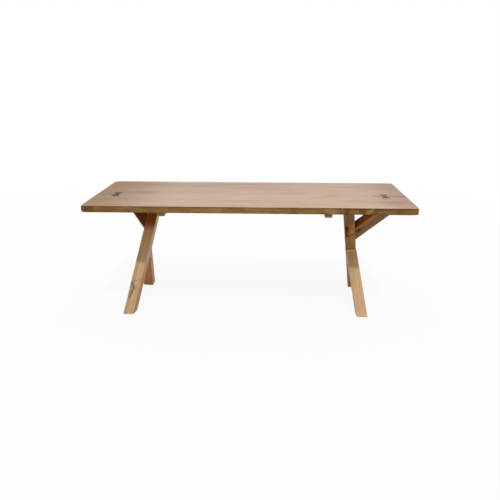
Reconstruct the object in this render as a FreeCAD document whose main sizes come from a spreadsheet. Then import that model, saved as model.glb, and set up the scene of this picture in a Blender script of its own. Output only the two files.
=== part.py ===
import FreeCAD, Part
import Sketcher
import os

# A sawbuck dining table: a thick two-board top on two leaning wooden trestles.
# Millimetres. X runs along the table, Y away from the viewer, Z up from the floor.
# The left trestle is the right one turned half round, and both stand a little left of the middle.
sizes = {
    "table_length": 2100,
    "table_width": 900,
    "table_height": 765,
    "slab_thickness": 42,
    "slab_corner_radius": 20,
    "slab_edge_easing": 3,
    "joint_offset": 62,
    "crack_length": 215,
    "crack_width": 5,
    "key_length": 130,
    "key_end_width": 55,
    "key_waist_width": 23,
    "key_depth": 12,
    "key_left_end_distance": 138,
    "key_right_end_distance": 147,
    "key_fit": 0.2,
    "board_dowel_diameter": 12,
    "board_dowel_length": 80,
    "board_dowel_spacing": 300,
    "batten_left_end_distance": 498,
    "batten_right_end_distance": 551,
    "batten_width": 45,
    "batten_height": 30,
    "batten_inset": 20,
    "batten_chamfer": 18,
    "batten_screw_diameter": 5,
    "batten_screw_length": 50,
    "batten_screw_head": 10,
    "batten_screw_inner_place": 130,
    "batten_screw_outer_place": 330,
    "leg_width": 72,
    "leg_depth": 72,
    "leg_edge_easing": 3,
    "trestle_offset": 18,
    "main_foot_end_distance": 260,
    "main_foot_y": 300,
    "main_top_end_distance": 387,
    "main_top_y": 223,
    "strut_foot_end_distance": 276,
    "strut_foot_y": 288,
    "strut_joint_height": 375,
    "strut_twist": -5,
    "arm_width": 81,
    "arm_top_end_distance": 150,
    "arm_joint_height": 499,
    "leg_dowel_diameter": 14,
    "leg_dowel_spacing": 32,
    "strut_dowel_length": 100,
    "arm_dowel_length": 66,
    "dowel_fit": 0.15,
    "plate_thickness": 6,
    "plate_width": 110,
    "plate_inner_lap": 85,
    "plate_outer_lap": 110,
    "slab_screw_diameter": 6,
    "slab_screw_length": 32,
    "slab_screw_head": 12,
    "slab_screw_edge": 20,
    "leg_screw_diameter": 8,
    "leg_screw_length": 50,
    "leg_screw_head": 16,
    "leg_screw_spacing": 26,
    "screw_fit": 0.15,
    "overrun": 60,
}

board_dowel_count = 6

# Places and angles that follow from the sizes.
layout = {
    "underside": "Sizes.table_height - Sizes.slab_thickness",
    "leg_rise": "underside - Sizes.plate_thickness",
    "joint_y": "-Sizes.joint_offset",
    "end_x": "Sizes.table_length / 2",
    "key_left_x": "Sizes.key_left_end_distance - end_x",
    "key_right_x": "end_x - Sizes.key_right_end_distance",
    "batten_left_x": "Sizes.batten_left_end_distance - end_x",
    "batten_right_x": "end_x - Sizes.batten_right_end_distance",
    "main_foot_x": "end_x - Sizes.main_foot_end_distance",
    "main_top_x": "end_x - Sizes.main_top_end_distance",
    "strut_foot_x": "end_x - Sizes.strut_foot_end_distance",
    "arm_top_x": "end_x - Sizes.arm_top_end_distance",
    "main_tilt": "atan((Sizes.main_foot_y + Sizes.main_top_y) / leg_rise)",
    "main_lean": "atan((main_top_x - main_foot_x) * cos(main_tilt) / leg_rise)",
    "strut_share": "Sizes.strut_joint_height / leg_rise",
    "strut_meet_x": "main_foot_x + (main_top_x - main_foot_x) * strut_share",
    "strut_meet_y": "Sizes.main_foot_y - (Sizes.main_foot_y + Sizes.main_top_y) * strut_share",
    "strut_tilt": "-atan((strut_meet_y + Sizes.strut_foot_y) / Sizes.strut_joint_height)",
    "strut_lean": "atan((strut_meet_x - strut_foot_x) * cos(strut_tilt) / Sizes.strut_joint_height)",
    "arm_share": "Sizes.arm_joint_height / leg_rise",
    "arm_meet_x": "main_foot_x + (main_top_x - main_foot_x) * arm_share",
    "arm_meet_y": "Sizes.main_foot_y - (Sizes.main_foot_y + Sizes.main_top_y) * arm_share",
    "arm_lean": "atan((arm_top_x - arm_meet_x) * cos(main_tilt) / (leg_rise - Sizes.arm_joint_height))",
    "stock_length": "Sizes.table_height * 2",
    "space": "Sizes.table_length * 2",
    "arm_rise": "Sizes.leg_width / 2 / tan(arm_lean - main_lean)",
    "strut_drop": "Sizes.leg_depth / 2 / tan(main_tilt - strut_tilt)",
    "plate_length": "arm_top_x - main_top_x + Sizes.plate_inner_lap + Sizes.plate_outer_lap",
    "plate_start": "main_top_x - Sizes.plate_inner_lap",
}

doc = FreeCAD.newDocument("sawbuck_table")
nodes = []


def fill_sheet(name, cells):
    """Write one row per value, with the value's name as the cell's alias."""
    sheet = doc.addObject("Spreadsheet::Sheet", name)
    for row, (alias, value) in enumerate(cells.items(), 1):
        sheet.set("A%d" % row, alias)
        sheet.setAlias("B%d" % row, alias)
        sheet.set("B%d" % row, value if isinstance(value, str) else str(value))
    doc.recompute()
    return sheet


fill_sheet("Sizes", sizes)
fill_sheet("Layout", {alias: "=" + formula for alias, formula in layout.items()})


def bind(thing, **formulas):
    """Tie properties of a thing to formulas over the sheets."""
    for prop, formula in formulas.items():
        thing.setExpression(prop, formula)
    return thing


def place(thing, x="0", y="0", z="0", turn=""):
    """Tie a thing's place to formulas, with an optional turn made of rotations."""
    spin = turn or "rotation(vector(0; 0; 1); 0)"
    thing.setExpression("Placement", "placement(vector(%s; %s; %s); %s)" % (x, y, z, spin))
    return thing


def about(axis, angle):
    """One rotation about the x, y or z axis."""
    way = {"x": "1; 0; 0", "y": "0; 1; 0", "z": "0; 0; 1"}[axis]
    return "rotation(vector(%s); %s)" % (way, angle)


def block(name, x, y, z, length, width, height, turn=""):
    """A plain box from its low corner."""
    box = doc.addObject("Part::Box", name)
    bind(box, Length=length, Width=width, Height=height)
    return place(box, x, y, z, turn)


def rod(name, diameter, length, x, y, z, turn=""):
    """A round rod from the middle of one end."""
    cylinder = doc.addObject("Part::Cylinder", name)
    bind(cylinder, Radius="(%s) / 2" % diameter, Height=length)
    return place(cylinder, x, y, z, turn)


def subtract(name, base, tools):
    """The base without all the tools."""
    joined = tools[0]
    if len(tools) > 1:
        joined = doc.addObject("Part::MultiFuse", name + "_cutters")
        joined.Shapes = tools
    result = doc.addObject("Part::Cut", name)
    result.Base = base
    result.Tool = joined
    return result


def overlap(name, base, tool):
    """What two solids share."""
    result = doc.addObject("Part::Common", name)
    result.Base = base
    result.Tool = tool
    return result


def group(name, members):
    """Separate solids that share one node."""
    result = doc.addObject("Part::Compound", name)
    result.Links = members
    return result


def finish(thing, node, trestle=""):
    """Name a finished piece and move a trestle's into place, the left one turned half round."""
    thing.Label = node
    if trestle:
        place(thing, "-Sizes.trestle_offset", turn=about("z", "180") if trestle == "left" else "")
    nodes.append(thing)
    return thing


def screw(name, kind, x, y, z, upward, fit="0"):
    """A countersunk screw whose head face is at z; as a cutter it is larger by the fit."""
    size = "Sizes." + kind
    slope = "(%s_head - %s_diameter) / 2" % (size, size)
    turn = "" if upward else about("x", "180")
    head = doc.addObject("Part::Cone", name + "_head")
    bind(head, Radius1=size + "_head / 2 + " + fit, Radius2=size + "_diameter / 2 + " + fit, Height=slope)
    place(head, x, y, z, turn)
    thickness = "%s_diameter + 2 * %s" % (size, fit)
    shank = rod(name + "_shank", thickness, size + "_length + " + fit, x, y, z, turn)
    whole = doc.addObject("Part::Fuse", name)
    whole.Base = head
    whole.Tool = shank
    return whole


def sharp_edges(solid, wanted):
    """Names of the edges of a solid that a test picks out."""
    return ["Edge%d" % i for i, edge in enumerate(solid.Shape.Edges, 1) if wanted(edge)]


def ease(body, name, base, wanted, radius):
    """Round the picked edges of a body."""
    doc.recompute()
    fillet = body.newObject("PartDesign::Fillet", name)
    fillet.Base = (base, sharp_edges(base, wanted))
    bind(fillet, Radius=radius)
    body.Tip = fillet
    doc.recompute()
    return fillet


def upright(edge):
    """An edge that runs along the local Z axis."""
    start, end = edge.Vertexes[0].Point, edge.Vertexes[-1].Point
    return (end - start).Length > 0 and abs((end - start).normalize().z) > 1 - Part.Precision.confusion()


def level(edge):
    """An edge that lies flat."""
    return edge.BoundBox.ZLength < edge.BoundBox.DiagonalLength * Part.Precision.approximation()


# Top boards, glued edge to edge on a line a little in front of the middle.
def make_board(name, low_y, width, outer_side):
    body = doc.addObject("PartDesign::Body", name + "_stock")
    plank = body.newObject("PartDesign::AdditiveBox", name + "_plank")
    bind(plank, Length="Sizes.table_length", Width=width, Height="Sizes.slab_thickness")
    place(plank, "-Sizes.table_length / 2", low_y, "Layout.underside")
    doc.recompute()
    box = plank.Shape.BoundBox
    outer_y = box.YMin if outer_side < 0 else box.YMax
    glue_y = box.YMax if outer_side < 0 else box.YMin
    reach = Part.Precision.approximation()
    corners = ease(body, name + "_corners", plank,
                   lambda edge: upright(edge) and abs(edge.BoundBox.YMin - outer_y) < reach,
                   "Sizes.slab_corner_radius")

    def outside(edge):
        span = edge.BoundBox
        return level(edge) and abs(span.YMin - glue_y) + abs(span.YMax - glue_y) > reach

    ease(body, name + "_edges", corners, outside, "Sizes.slab_edge_easing")
    return body


def bow_tie(name, x, grow, depth):
    """A butterfly shape sunk in the top, made larger all round for its pocket."""
    body = doc.addObject("PartDesign::Body", name)
    outline = body.newObject("Sketcher::SketchObject", name + "_outline")
    plane = [feature for feature in body.Origin.OriginFeatures if feature.Role == "XY_Plane"][0]
    outline.AttachmentSupport = [(plane, "")]
    outline.MapMode = "FlatFace"
    half_end = sizes["key_end_width"] / 2
    half_waist = sizes["key_waist_width"] / 2
    half_length = sizes["key_length"] / 2
    corners = [(-half_end, -half_length), (half_end, -half_length), (half_waist, 0),
               (half_end, half_length), (-half_end, half_length), (-half_waist, 0)]
    points = [FreeCAD.Vector(across, along, 0) for across, along in corners]
    for start, end in zip(points, points[1:] + points[:1]):
        outline.addGeometry(Part.LineSegment(start, end), False)
    for side in range(len(points)):
        outline.addConstraint(Sketcher.Constraint("Coincident", side, 2, (side + 1) % len(points), 1))
    near_edge, right_near, right_far, far_edge, left_far = range(5)
    flat_axis, upright_axis = -1, -2
    outline.addConstraint(Sketcher.Constraint("Symmetric", near_edge, 1, near_edge, 2, upright_axis))
    outline.addConstraint(Sketcher.Constraint("Symmetric", far_edge, 1, far_edge, 2, upright_axis))
    outline.addConstraint(Sketcher.Constraint("Symmetric", near_edge, 2, far_edge, 1, flat_axis))
    outline.addConstraint(Sketcher.Constraint("Symmetric", right_near, 2, left_far, 2, upright_axis))
    outline.addConstraint(Sketcher.Constraint("PointOnObject", right_near, 2, flat_axis))
    spans = [("DistanceX", near_edge, 1, near_edge, 2, "end_width"),
             ("DistanceY", near_edge, 2, far_edge, 1, "length"),
             ("DistanceX", left_far, 2, right_near, 2, "waist_width")]
    for kind, first, first_end, second, second_end, size in spans:
        value = sizes["key_" + size]
        spot = outline.addConstraint(Sketcher.Constraint(kind, first, first_end, second, second_end, value))
        outline.setExpression("Constraints[%d]" % spot, "Sizes.key_%s + 2 * %s" % (size, grow))
    pad = body.newObject("PartDesign::Pad", name + "_pad")
    pad.Profile = outline
    bind(pad, Length=depth)
    body.Tip = pad
    return place(body, x, "Layout.joint_y", "Sizes.table_height - Sizes.key_depth")


def make_top():
    front = make_board("top_board_front", "-Sizes.table_width / 2",
                       "Sizes.table_width / 2 - Sizes.joint_offset", -1)
    back = make_board("top_board_back", "Layout.joint_y", "Sizes.table_width / 2 + Sizes.joint_offset", 1)
    front_cuts, back_cuts = [], []
    for side, sign, open_board in (("left", "-", front_cuts), ("right", "", back_cuts)):
        key_x = "Layout.key_%s_x" % side
        finish(bow_tie("key_" + side, key_x, "0", "Sizes.key_depth"), "butterfly_key_" + side)
        pocket = bow_tie("key_pocket_" + side, key_x, "Sizes.key_fit", "Sizes.key_depth + Sizes.overrun")
        front_cuts.append(pocket)
        back_cuts.append(pocket)
        # The glue line has opened at each end into a tapering crack.
        crack = doc.addObject("Part::Wedge", "crack_" + side)
        bind(crack, Xmin="-Sizes.overrun", Xmax="Sizes.crack_width", X2min="-Sizes.overrun", X2max="0",
             Ymin="0", Ymax="Sizes.crack_length", Zmin="-Sizes.overrun", Z2min="-Sizes.overrun",
             Zmax="Sizes.slab_thickness + Sizes.overrun", Z2max="Sizes.slab_thickness + Sizes.overrun")
        place(crack, sign + "Sizes.table_length / 2", "Layout.joint_y", "Layout.underside",
              about("z", "-90" if sign else "90"))
        open_board.append(crack)
    pegs = []
    for number in range(board_dowel_count):
        step = number - (board_dowel_count - 1) / 2
        peg_x = "Sizes.board_dowel_spacing * %s" % step
        peg_z = "Sizes.table_height - Sizes.slab_thickness / 2"
        along = about("x", "-90")
        label = "board_dowel_%d" % (number + 1)
        pegs.append(rod(label, "Sizes.board_dowel_diameter", "Sizes.board_dowel_length",
                        peg_x, "Layout.joint_y - Sizes.board_dowel_length / 2", peg_z, along))
        hole = rod(label + "_hole", "Sizes.board_dowel_diameter + 2 * Sizes.dowel_fit",
                   "Sizes.board_dowel_length + 2 * Sizes.dowel_fit", peg_x,
                   "Layout.joint_y - Sizes.board_dowel_length / 2 - Sizes.dowel_fit", peg_z, along)
        front_cuts.append(hole)
        back_cuts.append(hole)
    finish(group("board_dowels", pegs), "board_dowels")
    for side, sign in (("left", "-"), ("right", "")):
        make_batten(side, front_cuts, back_cuts)
        make_slab_screws(side, sign, back_cuts if sign else front_cuts)
    finish(subtract("front_board", front, front_cuts), "top_board_front")
    finish(subtract("back_board", back, back_cuts), "top_board_back")


# Cross battens that keep the boards flat, screwed up into them from below.
def make_batten(side, front_cuts, back_cuts):
    name = "batten_" + side
    batten_x = "Layout.%s_x" % name
    body = doc.addObject("PartDesign::Body", name + "_stock")
    bar = body.newObject("PartDesign::AdditiveBox", name + "_bar")
    bind(bar, Length="Sizes.batten_width", Width="Sizes.table_width - 2 * Sizes.batten_inset",
         Height="Sizes.batten_height")
    place(bar, "%s - Sizes.batten_width / 2" % batten_x,
          "Sizes.batten_inset - Sizes.table_width / 2", "Layout.underside - Sizes.batten_height")
    doc.recompute()
    low = bar.Shape.BoundBox
    chamfer = body.newObject("PartDesign::Chamfer", name + "_ends")
    reach = Part.Precision.approximation()
    chamfer.Base = (bar, sharp_edges(bar, lambda edge: level(edge) and edge.BoundBox.YLength < reach
                                     and abs(edge.BoundBox.ZMin - low.ZMin) < reach))
    bind(chamfer, Size="Sizes.batten_chamfer")
    body.Tip = chamfer
    screws, cutters = [], []
    for spot, (way, cuts) in (("outer", ("-", front_cuts)), ("inner", ("-", front_cuts)),
                              ("inner", ("", back_cuts)), ("outer", ("", back_cuts))):
        label = "%s_screw_%d" % (name, len(screws) + 1)
        at = (batten_x, way + "Sizes.batten_screw_%s_place" % spot,
              "Layout.underside - Sizes.batten_height")
        screws.append(screw(label, "batten_screw", *at, True))
        cutters.append(screw(label + "_hole", "batten_screw", *at, True, "Sizes.screw_fit"))
        cuts.append(cutters[-1])
    finish(subtract(name, body, cutters), name)
    finish(group(name + "_screws", screws), name + "_screws")


def slab_screw_spots():
    """Places of the screws that hold a plate under the top: both ends and the middle."""
    ends = ["Layout.plate_start + Sizes.slab_screw_edge", "Layout.plate_start + Layout.plate_length / 2",
            "Layout.plate_start + Layout.plate_length - Sizes.slab_screw_edge"]
    rows = ["-Sizes.main_top_y - Sizes.plate_width / 2 + Sizes.slab_screw_edge",
            "-Sizes.main_top_y + Sizes.plate_width / 2 - Sizes.slab_screw_edge"]
    return [(x, y) for x in ends for y in rows]


def make_slab_screws(side, sign, board_cuts):
    screws = []
    for x, y in slab_screw_spots():
        label = "slab_screw_%s_%d" % (side, len(screws) + 1)
        at = ("%s(%s) - Sizes.trestle_offset" % (sign, x), "%s(%s)" % (sign, y), "Layout.leg_rise")
        screws.append(screw(label, "slab_screw", *at, True))
        board_cuts.append(screw(label + "_hole", "slab_screw", *at, True, "Sizes.screw_fit"))
    finish(group("slab_screws_" + side, screws), "slab_screws_" + side)


# Square timbers of the trestles, laid along their own leaning lines.
def make_timber(name, x, y, z, turn, width="Sizes.leg_width"):
    body = doc.addObject("PartDesign::Body", name + "_stock")
    stick = body.newObject("PartDesign::AdditiveBox", name + "_stick")
    bind(stick, Length=width, Width="Sizes.leg_depth", Height="Layout.stock_length")
    place(stick, "-%s / 2" % width, "-Sizes.leg_depth / 2", "-Sizes.overrun")
    ease(body, name + "_arrises", stick, upright, "Sizes.leg_edge_easing")
    return place(body, x, y, z, turn)


def make_trestle(side):
    tag = "_" + side
    main_plane = about("x", "Layout.main_tilt")
    main_turn = main_plane + " * " + about("y", "Layout.main_lean")
    arm_turn = main_plane + " * " + about("y", "Layout.arm_lean")
    strut_line = about("x", "Layout.strut_tilt") + " * " + about("y", "Layout.strut_lean")
    strut_turn = strut_line + " * " + about("z", "Sizes.strut_twist")
    main_foot = ("Layout.main_foot_x", "Sizes.main_foot_y", "0")
    strut_meet = ("Layout.strut_meet_x", "Layout.strut_meet_y", "Sizes.strut_joint_height")
    arm_meet = ("Layout.arm_meet_x", "Layout.arm_meet_y", "Sizes.arm_joint_height")
    # Everything of a trestle lies between the floor and the plate under the top.
    room = block("room" + tag, "-Layout.space / 2", "-Layout.space / 2", "0",
                 "Layout.space", "Layout.space", "Layout.leg_rise")

    def beyond(name, spot, turn, offset_x, offset_y):
        """All the space past one face of the main leg."""
        shift = "%s * vector(%s; %s; -Layout.space / 2)" % (turn, offset_x, offset_y)
        box = doc.addObject("Part::Box", name)
        bind(box, Length="Layout.space", Width="Layout.space", Height="Layout.space")
        corner = "vector(%s; %s; %s) + %s" % (*spot, shift)
        box.setExpression("Placement", "placement(%s; %s)" % (corner, turn))
        return box

    def peg(name, spot, turn, across, start, length, fit):
        """A dowel square to a joint face, from a point on the main leg's middle line."""
        shift = "%s * vector(%s)" % (turn[0], across % start)
        pin = doc.addObject("Part::Cylinder", name)
        bind(pin, Radius="Sizes.leg_dowel_diameter / 2 + " + fit, Height=length)
        corner = "vector(%s; %s; %s) + %s" % (*spot, shift)
        pin.setExpression("Placement", "placement(%s; %s * %s)" % (corner, *turn))
        return pin

    # Dowels of the strut joint stand on the main leg's near face, those of the arm on its outer side.
    pins = {"strut": [], "arm": []}
    holes = {"strut": [], "arm": []}
    joints = {
        "strut": (strut_meet, (main_turn, about("x", "90")),
                  "%s; -Sizes.leg_depth / 2 + %%s; -Layout.strut_drop"),
        "arm": (arm_meet, (main_turn, about("y", "90")),
                "Sizes.leg_width / 2 - %%s; %s; Layout.arm_rise"),
    }
    for joint, (spot, turn, pattern) in joints.items():
        size = "Sizes.%s_dowel_length" % joint
        for way in ("-", ""):
            across = pattern % (way + "Sizes.leg_dowel_spacing / 2")
            label = "%s_dowel%s_%d" % (joint, tag, len(pins[joint]) + 1)
            pins[joint].append(peg(label, spot, turn, across, size + " / 2", size, "0"))
            deeper = "(%s / 2 + Sizes.dowel_fit)" % size
            holes[joint].append(peg(label + "_hole", spot, turn, across, deeper,
                                    size + " + 2 * Sizes.dowel_fit", "Sizes.dowel_fit"))
        finish(group(joint + "_dowels" + tag, pins[joint]), joint + "_dowels" + tag, side)

    # Screws down through the plate into the tops of the main leg and the arm.
    plate_top = "Layout.underside"
    inward = "Sizes.leg_screw_length / 2 * tan(Layout.main_tilt) - Sizes.main_top_y"
    arm_shift = "Sizes.leg_screw_length / 2 * tan(Layout.arm_lean) / cos(Layout.main_tilt)"
    leg_screws = {"main": [], "arm": []}
    screw_holes = {"main": [], "arm": []}
    for way in ("-", "+"):
        spread = "%s Sizes.leg_screw_spacing / 2" % way
        spots = {"main": ("Layout.main_top_x %s" % spread, inward),
                 "arm": ("Layout.arm_top_x - %s" % arm_shift, "%s %s" % (inward, spread))}
        for leg, (x, y) in spots.items():
            label = "%s_screw%s_%d" % (leg, tag, len(leg_screws[leg]) + 1)
            at = (x, y, plate_top)
            leg_screws[leg].append(screw(label, "leg_screw", *at, False))
            screw_holes[leg].append(screw(label + "_hole", "leg_screw", *at, False, "Sizes.screw_fit"))
    finish(group("leg_screws" + tag, leg_screws["main"] + leg_screws["arm"]), "leg_screws" + tag, side)

    main = make_timber("main" + tag, *main_foot, main_turn)
    main = overlap("main_cut" + tag, main, room)
    finish(subtract("main_leg" + tag, main, holes["strut"] + holes["arm"] + screw_holes["main"]),
           "main_leg" + tag, side)

    strut = make_timber("strut" + tag, "Layout.strut_foot_x", "-Sizes.strut_foot_y", "0", strut_turn)
    strut = overlap("strut_cut" + tag, strut, room)
    behind = beyond("behind_main" + tag, strut_meet, main_turn, "-Layout.space / 2", "-Sizes.leg_depth / 2")
    finish(subtract("strut_leg" + tag, strut, [behind] + holes["strut"]), "strut_leg" + tag, side)

    arm = make_timber("arm" + tag, *arm_meet, arm_turn, "Sizes.arm_width")
    arm = overlap("arm_cut" + tag, arm, room)
    inside = beyond("inside_main" + tag, arm_meet, main_turn, "Sizes.leg_width / 2 - Layout.space",
                    "-Layout.space / 2")
    finish(subtract("outer_arm" + tag, arm, [inside] + holes["arm"] + screw_holes["arm"]),
           "outer_arm" + tag, side)

    plate = block("plate" + tag, "Layout.plate_start", "-Sizes.main_top_y - Sizes.plate_width / 2",
                  "Layout.leg_rise", "Layout.plate_length", "Sizes.plate_width", "Sizes.plate_thickness")
    bores = [screw("plate_bore%s_%d" % (tag, number), "slab_screw", *spot, "Layout.leg_rise", True,
                   "Sizes.screw_fit") for number, spot in enumerate(slab_screw_spots(), 1)]
    finish(subtract("mounting_plate" + tag, plate, bores + screw_holes["main"] + screw_holes["arm"]),
           "mounting_plate" + tag, side)


make_top()
for side in ("left", "right"):
    make_trestle(side)
doc.recompute()

for thing in doc.Objects:
    if "Invalid" in thing.State or "Error" in thing.State:
        raise RuntimeError("failed feature: " + thing.Name)
for node in nodes:
    if node.Shape.isNull() or not node.Shape.isValid() or not node.Shape.Solids:
        raise RuntimeError("bad shape: " + node.Label)

os.makedirs("parts", exist_ok=True)
for node in nodes:
    node.Shape.exportStep("parts/%s.step" % node.Label)
    print(node.Label, len(node.Shape.Solids), round(node.Shape.Volume / 1000, 1))
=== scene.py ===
import math

import bmesh
import bpy
from mathutils import Matrix, Vector, noise


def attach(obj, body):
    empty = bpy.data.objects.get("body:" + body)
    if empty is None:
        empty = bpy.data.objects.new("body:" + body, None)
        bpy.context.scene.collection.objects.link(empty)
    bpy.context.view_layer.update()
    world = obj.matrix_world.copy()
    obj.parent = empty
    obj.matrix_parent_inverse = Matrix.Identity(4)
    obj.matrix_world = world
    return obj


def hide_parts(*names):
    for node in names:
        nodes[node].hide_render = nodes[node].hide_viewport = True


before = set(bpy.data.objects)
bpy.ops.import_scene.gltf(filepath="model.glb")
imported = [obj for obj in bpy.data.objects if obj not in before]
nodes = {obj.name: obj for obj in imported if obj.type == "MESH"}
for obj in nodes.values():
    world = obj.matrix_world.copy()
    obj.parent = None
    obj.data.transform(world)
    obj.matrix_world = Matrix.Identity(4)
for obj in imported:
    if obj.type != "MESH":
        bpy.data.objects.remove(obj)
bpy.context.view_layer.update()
scene = bpy.context.scene
sides = ("left", "right")
print("frame loaded:", len(nodes), "nodes")


# node tree helpers

def paint(red, green, blue):  # screen colour 0-255 to a linear colour socket value
    steps = [c / 255 for c in (red, green, blue)]
    return tuple(c / 12.92 if c <= 0.04045 else ((c + 0.055) / 1.055) ** 2.4 for c in steps) + (1.0,)


def feed(tree, socket, value):
    if isinstance(value, bpy.types.NodeSocket):
        tree.links.new(value, socket)
    else:
        socket.default_value = value


def wire(tree, kind, sockets=None, **settings):
    made = tree.nodes.new("ShaderNode" + kind)
    for key, value in settings.items():
        setattr(made, key, value)
    for key, value in (sockets or {}).items():
        feed(tree, made.inputs[key], value)
    return made


def calc(tree, operation, *values):
    made = wire(tree, "Math", operation=operation)
    for socket, value in zip(made.inputs, values):
        feed(tree, socket, value)
    return made.outputs[0]


def times(tree, first, second):
    return calc(tree, "MULTIPLY", first, second)


def larger(tree, first, second):
    return calc(tree, "MAXIMUM", first, second)


def vec(tree, operation, *values):
    made = wire(tree, "VectorMath", operation=operation)
    for socket, value in zip(made.inputs, values):
        feed(tree, socket, value)
    return made.outputs["Value" if operation in ("LENGTH", "DOT_PRODUCT") else "Vector"]


def soften(tree, value, start, end):  # 0 at start, 1 at end, smooth between
    return wire(tree, "MapRange", {"Value": value, "From Min": start, "From Max": end},
                interpolation_type="SMOOTHSTEP").outputs[0]


def spread(tree, value, low, high, outLow, outHigh):
    return wire(tree, "MapRange", {"Value": value, "From Min": low, "From Max": high,
                                   "To Min": outLow, "To Max": outHigh}).outputs[0]


def ragged(tree, value, mottle, reach):  # a value shifted to and fro by noise
    return calc(tree, "MULTIPLY_ADD", calc(tree, "SUBTRACT", mottle, 0.5), reach, value)


def blend(tree, share, low, high, way="MIX"):
    made = wire(tree, "Mix", data_type="RGBA", blend_type=way, clamp_factor=True)
    for spot, value in ((0, share), (6, low), (7, high)):
        feed(tree, made.inputs[spot], value)
    return made.outputs[2]


def tint(tree, colour, tone, share, way="MIX"):
    return blend(tree, share, colour, paint(*tone), way)


def ramp(tree, value, spots, tones):
    made = wire(tree, "ValToRGB", {"Fac": value})
    band = made.color_ramp
    while len(band.elements) < len(spots):
        band.elements.new(0.5)
    for element, spot, tone in zip(band.elements, spots, tones):
        element.position = spot
        element.color = paint(*tone)
    return made.outputs["Color"]


def grainNoise(tree, spot, scale, seed, detail=3.0, rough=0.55, output="Fac"):
    moved = vec(tree, "MULTIPLY_ADD", spot, scale, seed)
    return wire(tree, "TexNoise", {"Vector": moved, "Scale": 1.0, "Detail": detail,
                                   "Roughness": rough}).outputs[output]


def objectSpot(tree):
    return wire(tree, "TexCoord").outputs["Object"]


def freshMaterial(name):
    made = bpy.data.materials.new(name)
    made.use_nodes = True
    made.node_tree.nodes.clear()
    return made, made.node_tree


def shineLevel(tree, look, dull):  # one number, unless some spots are dull
    if not isinstance(dull, bpy.types.NodeSocket):
        return look["specular"]
    return spread(tree, dull, 0.0, 1.0, look["specular"], look["dullSpecular"])


def closeMaterial(tree, colour, rough, height, lift, reach, **shading):
    bump = wire(tree, "Bump", {"Height": height, "Strength": lift, "Distance": reach})
    shader = wire(tree, "BsdfPrincipled", {"Base Color": colour, "Roughness": rough,
                                           "Normal": bump.outputs[0]})
    for key, value in shading.items():
        feed(tree, shader.inputs[key], value)
    wire(tree, "OutputMaterial", {"Surface": shader.outputs[0]})


# oak: the grain runs along local Z, across is X and the depth of the timber is Y

oakGrain = {
    "ringsPerMetre": 150.0,
    "sway": 0.014,                               # how far the grain wanders, metres
    # noise scales across, through and along the timber
    "driftScale": (6.0, 6.0, 1.5), "ragScale": (90.0, 90.0, 60.0), "streakScale": (55.0, 55.0, 1.3),
    "fibreScale": (420.0, 420.0, 9.0), "poreScale": (1300.0, 1300.0, 38.0), "patchScale": (9.0, 9.0, 2.6),
    "ringFray": 0.55,                            # how much the fibres fray a ring
    "poreSpan": (0.56, 0.70), "poreBand": (0.75, 0.25),
    "streakWeight": 0.75, "fibreWeight": 0.20, "bandWeight": 0.13, "patchWeight": 0.35,
    "toneSpots": (0.28, 0.53, 0.78),             # where the dark, middle and light tones lie
}
knotShape = {
    "throughShare": 0.12,                        # a knot runs deep into the timber
    "rag": 0.5, "haloSpan": (3.2, 0.9), "coreSpan": (1.15, 0.35), "ringShare": 0.8,
}
timberLook = {
    "rustSpan": (0.52, 0.72), "rustShare": 0.35, "rustTone": (214, 168, 130),
    "poreShare": 0.30, "poreTone": (70, 46, 28),
    "haloShare": 0.55, "haloTone": (150, 104, 66), "coreTone": (58, 36, 22),
    "faceSkin": (0.009, 0.002),                  # depth at which a face tone (mostly painted shade and light) starts and is full
    "frontSpan": (0.010, 0.028),                 # marks lie on the front half only
    "markRag": 1.6, "markCore": 0.25,            # shares of a mark's width
    "darkTone": 90,                              # marks darker than this are dull
    "rimRag": 0.004, "rimSpan": (-0.0055, -0.0005), "rubShare": 0.30, "rubTone": (200, 164, 124),
    "fibreHeight": 0.5, "bandHeight": 0.35, "bump": 0.22, "bumpReach": 0.0012,
    "streakSpan": (0.3, 0.7), "rough": (0.50, 0.38), "cutRough": 0.25,
    "specular": 0.27, "dullSpecular": 0.04,
}


def localSpot(tree, turn, origin):
    rows = turn.to_3x3().transposed()
    return wire(tree, "Mapping", {
        "Vector": objectSpot(tree),
        "Location": -(rows @ Vector(origin)),
        "Rotation": rows.to_euler("XYZ")}).outputs[0]


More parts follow.
